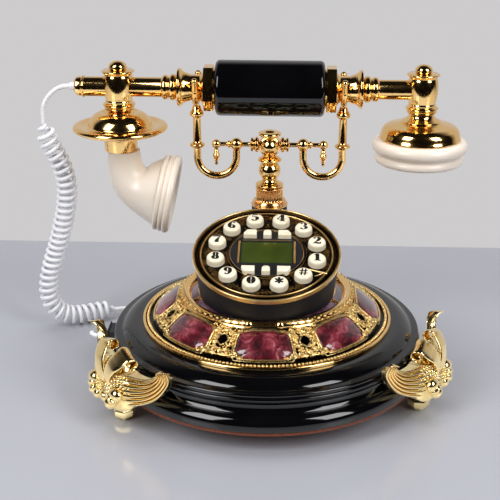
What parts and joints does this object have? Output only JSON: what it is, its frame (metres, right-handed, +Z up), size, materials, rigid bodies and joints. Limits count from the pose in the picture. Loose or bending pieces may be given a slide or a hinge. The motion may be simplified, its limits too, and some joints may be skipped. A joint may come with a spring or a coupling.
{
  "type": "vintage style cradle telephone",
  "caption": "French-style push-button cradle telephone: gold and black handset on a forked cradle, round enamelled base with winged feet, curly cord.",
  "frame": {"origin": "middle of the telephone's footprint on the surface it stands on, without its cord", "axes": "+X along the handset towards the receiver, -Y towards the user and the dial, +Z up"},
  "size_m": [0.279, 0.211, 0.19],
  "materials": {
    "black_lacquer": "high gloss black lacquer over resin",
    "brown_board": "brown fibre board",
    "steel": "bright steel",
    "polished_gold": "polished gold plating",
    "red_enamel": "marbled purple-red enamel under a clear coat",
    "purple_enamel": "purple enamel",
    "circuit_green": "green circuit board",
    "inner_black": "satin black plastic",
    "bronze_dial": "antique bronze brocade",
    "green_display": "unlit green liquid crystal",
    "ivory_plastic": "glossy ivory plastic",
    "ivory_keys": "glossy ivory keys",
    "cord_white": "white cord sheath"
  },
  "bodies": {
    "base": {"plinth": "black_lacquer", "bottom_board": "brown_board", "base_screws": "steel", "crown_plate": "polished_gold", "crown_enamels": "red_enamel", "inner_enamels": "purple_enamel", "foot_left": "polished_gold", "foot_right": "polished_gold", "foot_rear": "polished_gold", "circuit_board": "circuit_green", "ringer": "inner_black", "line_socket": "inner_black", "dial_housing": "black_lacquer", "dial_bezel": "polished_gold", "dial_face": "bronze_dial", "display_frame": "inner_black", "display_window": "green_display", "key_board": "circuit_green", "hook_switch": "inner_black", "return_spring": "steel", "post_sleeve": "polished_gold", "cord_lead": "cord_white", "cord_coil": "cord_white", "cord_tail": "cord_white", "line_plug": "cord_white"},
    "cradle": {"cradle_post": "polished_gold", "cross_bar": "polished_gold", "hook_left": "polished_gold", "hook_right": "polished_gold"},
    "handset": {"grip": "black_lacquer", "neck_fittings": "polished_gold", "left_hub": "polished_gold", "right_hub": "polished_gold", "bar_end_cap": "polished_gold", "mouthpiece_bell": "polished_gold", "mouthpiece_horn": "ivory_plastic", "mouthpiece_cup": "ivory_plastic", "microphone": "inner_black", "receiver_cap": "polished_gold", "ear_ring": "ivory_plastic", "receiver_capsule": "inner_black", "cord_gland": "cord_white"},
    "button_1": {"key_1": "ivory_keys"},
    "button_2": {"key_2": "ivory_keys"},
    "button_3": {"key_3": "ivory_keys"},
    "button_4": {"key_4": "ivory_keys"},
    "button_5": {"key_5": "ivory_keys"},
    "button_6": {"key_6": "ivory_keys"},
    "button_7": {"key_7": "ivory_keys"},
    "button_8": {"key_8": "ivory_keys"},
    "button_9": {"key_9": "ivory_keys"},
    "button_0": {"key_0": "ivory_keys"},
    "button_star": {"key_star": "ivory_keys"},
    "button_hash": {"key_hash": "ivory_keys"},
    "button_top_left": {"key_top_left": "ivory_keys"},
    "button_top_middle": {"key_top_middle": "ivory_keys"},
    "button_top_right": {"key_top_right": "ivory_keys"},
    "button_low_left": {"key_low_left": "ivory_keys"},
    "button_low_middle": {"key_low_middle": "ivory_keys"},
    "button_low_right": {"key_low_right": "ivory_keys"}
  },
  "joints": [
    {"name": "handset_lift", "type": "slide", "parent": "base", "child": "handset", "axis": [0, 0, 1], "range_m": [0, 0.11]},
    {"name": "cradle_rise", "type": "slide", "parent": "base", "child": "cradle", "axis": [0, 0, 1], "range_m": [0, 0.004], "stiffness_N_per_m": 400, "springref_m": 0.008, "deforming": ["return_spring"]},
    {"name": "press_1", "type": "slide", "parent": "base", "child": "button_1", "axis": [0, 0.2974, -0.9548], "range_m": [0, 0.0015], "stiffness_N_per_m": 500},
    {"name": "press_2", "type": "slide", "parent": "base", "child": "button_2", "axis": [0, 0.2974, -0.9548], "range_m": [0, 0.0015], "stiffness_N_per_m": 500},
    {"name": "press_3", "type": "slide", "parent": "base", "child": "button_3", "axis": [0, 0.2974, -0.9548], "range_m": [0, 0.0015], "stiffness_N_per_m": 500},
    {"name": "press_4", "type": "slide", "parent": "base", "child": "button_4", "axis": [0, 0.2974, -0.9548], "range_m": [0, 0.0015], "stiffness_N_per_m": 500},
    {"name": "press_5", "type": "slide", "parent": "base", "child": "button_5", "axis": [0, 0.2974, -0.9548], "range_m": [0, 0.0015], "stiffness_N_per_m": 500},
    {"name": "press_6", "type": "slide", "parent": "base", "child": "button_6", "axis": [0, 0.2974, -0.9548], "range_m": [0, 0.0015], "stiffness_N_per_m": 500},
    {"name": "press_7", "type": "slide", "parent": "base", "child": "button_7", "axis": [0, 0.2974, -0.9548], "range_m": [0, 0.0015], "stiffness_N_per_m": 500},
    {"name": "press_8", "type": "slide", "parent": "base", "child": "button_8", "axis": [0, 0.2974, -0.9548], "range_m": [0, 0.0015], "stiffness_N_per_m": 500},
    {"name": "press_9", "type": "slide", "parent": "base", "child": "button_9", "axis": [0, 0.2974, -0.9548], "range_m": [0, 0.0015], "stiffness_N_per_m": 500},
    {"name": "press_0", "type": "slide", "parent": "base", "child": "button_0", "axis": [0, 0.2974, -0.9548], "range_m": [0, 0.0015], "stiffness_N_per_m": 500},
    {"name": "press_star", "type": "slide", "parent": "base", "child": "button_star", "axis": [0, 0.2974, -0.9548], "range_m": [0, 0.0015], "stiffness_N_per_m": 500},
    {"name": "press_hash", "type": "slide", "parent": "base", "child": "button_hash", "axis": [0, 0.2974, -0.9548], "range_m": [0, 0.0015], "stiffness_N_per_m": 500},
    {"name": "press_top_left", "type": "slide", "parent": "base", "child": "button_top_left", "axis": [0, 0.2974, -0.9548], "range_m": [0, 0.0015], "stiffness_N_per_m": 500},
    {"name": "press_top_middle", "type": "slide", "parent": "base", "child": "button_top_middle", "axis": [0, 0.2974, -0.9548], "range_m": [0, 0.0015], "stiffness_N_per_m": 500},
    {"name": "press_top_right", "type": "slide", "parent": "base", "child": "button_top_right", "axis": [0, 0.2974, -0.9548], "range_m": [0, 0.0015], "stiffness_N_per_m": 500},
    {"name": "press_low_left", "type": "slide", "parent": "base", "child": "button_low_left", "axis": [0, 0.2974, -0.9548], "range_m": [0, 0.0015], "stiffness_N_per_m": 500},
    {"name": "press_low_middle", "type": "slide", "parent": "base", "child": "button_low_middle", "axis": [0, 0.2974, -0.9548], "range_m": [0, 0.0015], "stiffness_N_per_m": 500},
    {"name": "press_low_right", "type": "slide", "parent": "base", "child": "button_low_right", "axis": [0, 0.2974, -0.9548], "range_m": [0, 0.0015], "stiffness_N_per_m": 500}
  ],
  "couplings": [
    {"joint": "cradle_rise", "follows": "handset_lift", "ratio": 0.03636}
  ]
}
